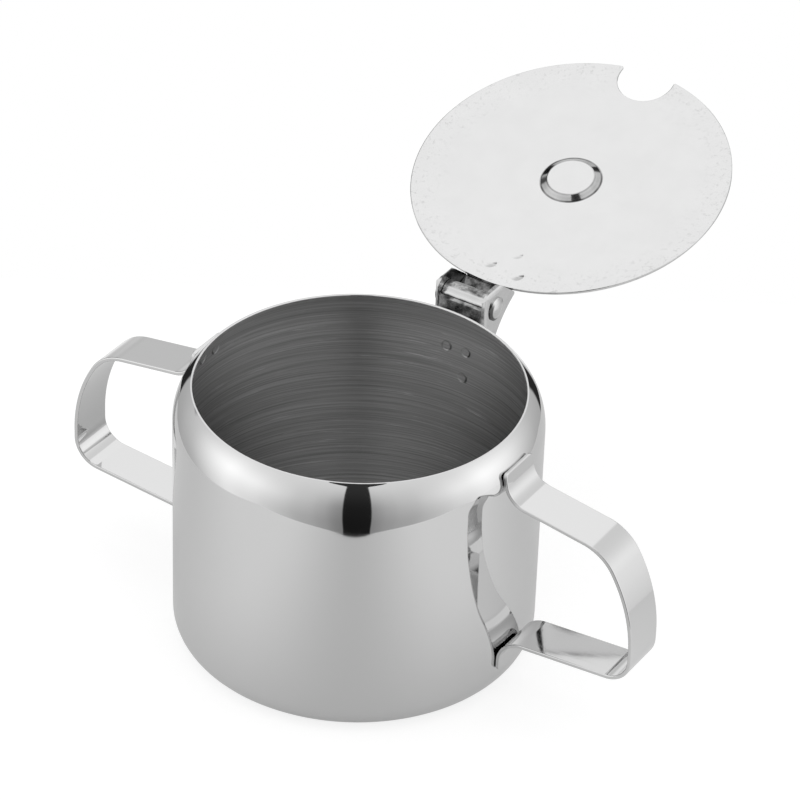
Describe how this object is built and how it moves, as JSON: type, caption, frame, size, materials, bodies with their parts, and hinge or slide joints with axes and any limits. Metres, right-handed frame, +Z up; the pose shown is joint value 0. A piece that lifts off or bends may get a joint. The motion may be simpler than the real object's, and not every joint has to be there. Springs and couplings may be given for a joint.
{
  "type": "condiment jar",
  "caption": "Polished steel condiment jar with two strap handles and a flat lid with a spoon notch, hinged at the rear.",
  "frame": {"origin": "centre of the flat underside, on the bowl's axis", "axes": "+Z up the bowl's axis, +X towards the right handle, +Y towards the hinge; the open lid lies over +Y"},
  "size_m": [0.156, 0.1733, 0.0888],
  "materials": {
    "bowl_steel": "mirror-polished outside, spun inside",
    "handle_steel": "mirror-polished strip",
    "hinge_steel": "tumbled bright sheet",
    "pin_steel": "bright wire, riveted",
    "lid_steel": "bright rolled sheet, polished outside",
    "knob_steel": "turned and polished"
  },
  "bodies": {
    "bowl_body": {"bowl": "bowl_steel", "handle_left": "handle_steel", "handle_right": "handle_steel", "hinge_bracket": "hinge_steel", "hinge_pin": "pin_steel"},
    "lid_body": {"lid": "lid_steel", "lid_leaf": "hinge_steel", "knob": "knob_steel"}
  },
  "joints": [
    {"name": "lid_hinge", "type": "hinge", "parent": "bowl_body", "child": "lid_body", "pos_m": [0, 0.0473, 0.066], "axis": [1, 0, 0], "range_deg": [0, 163.7]}
  ]
}
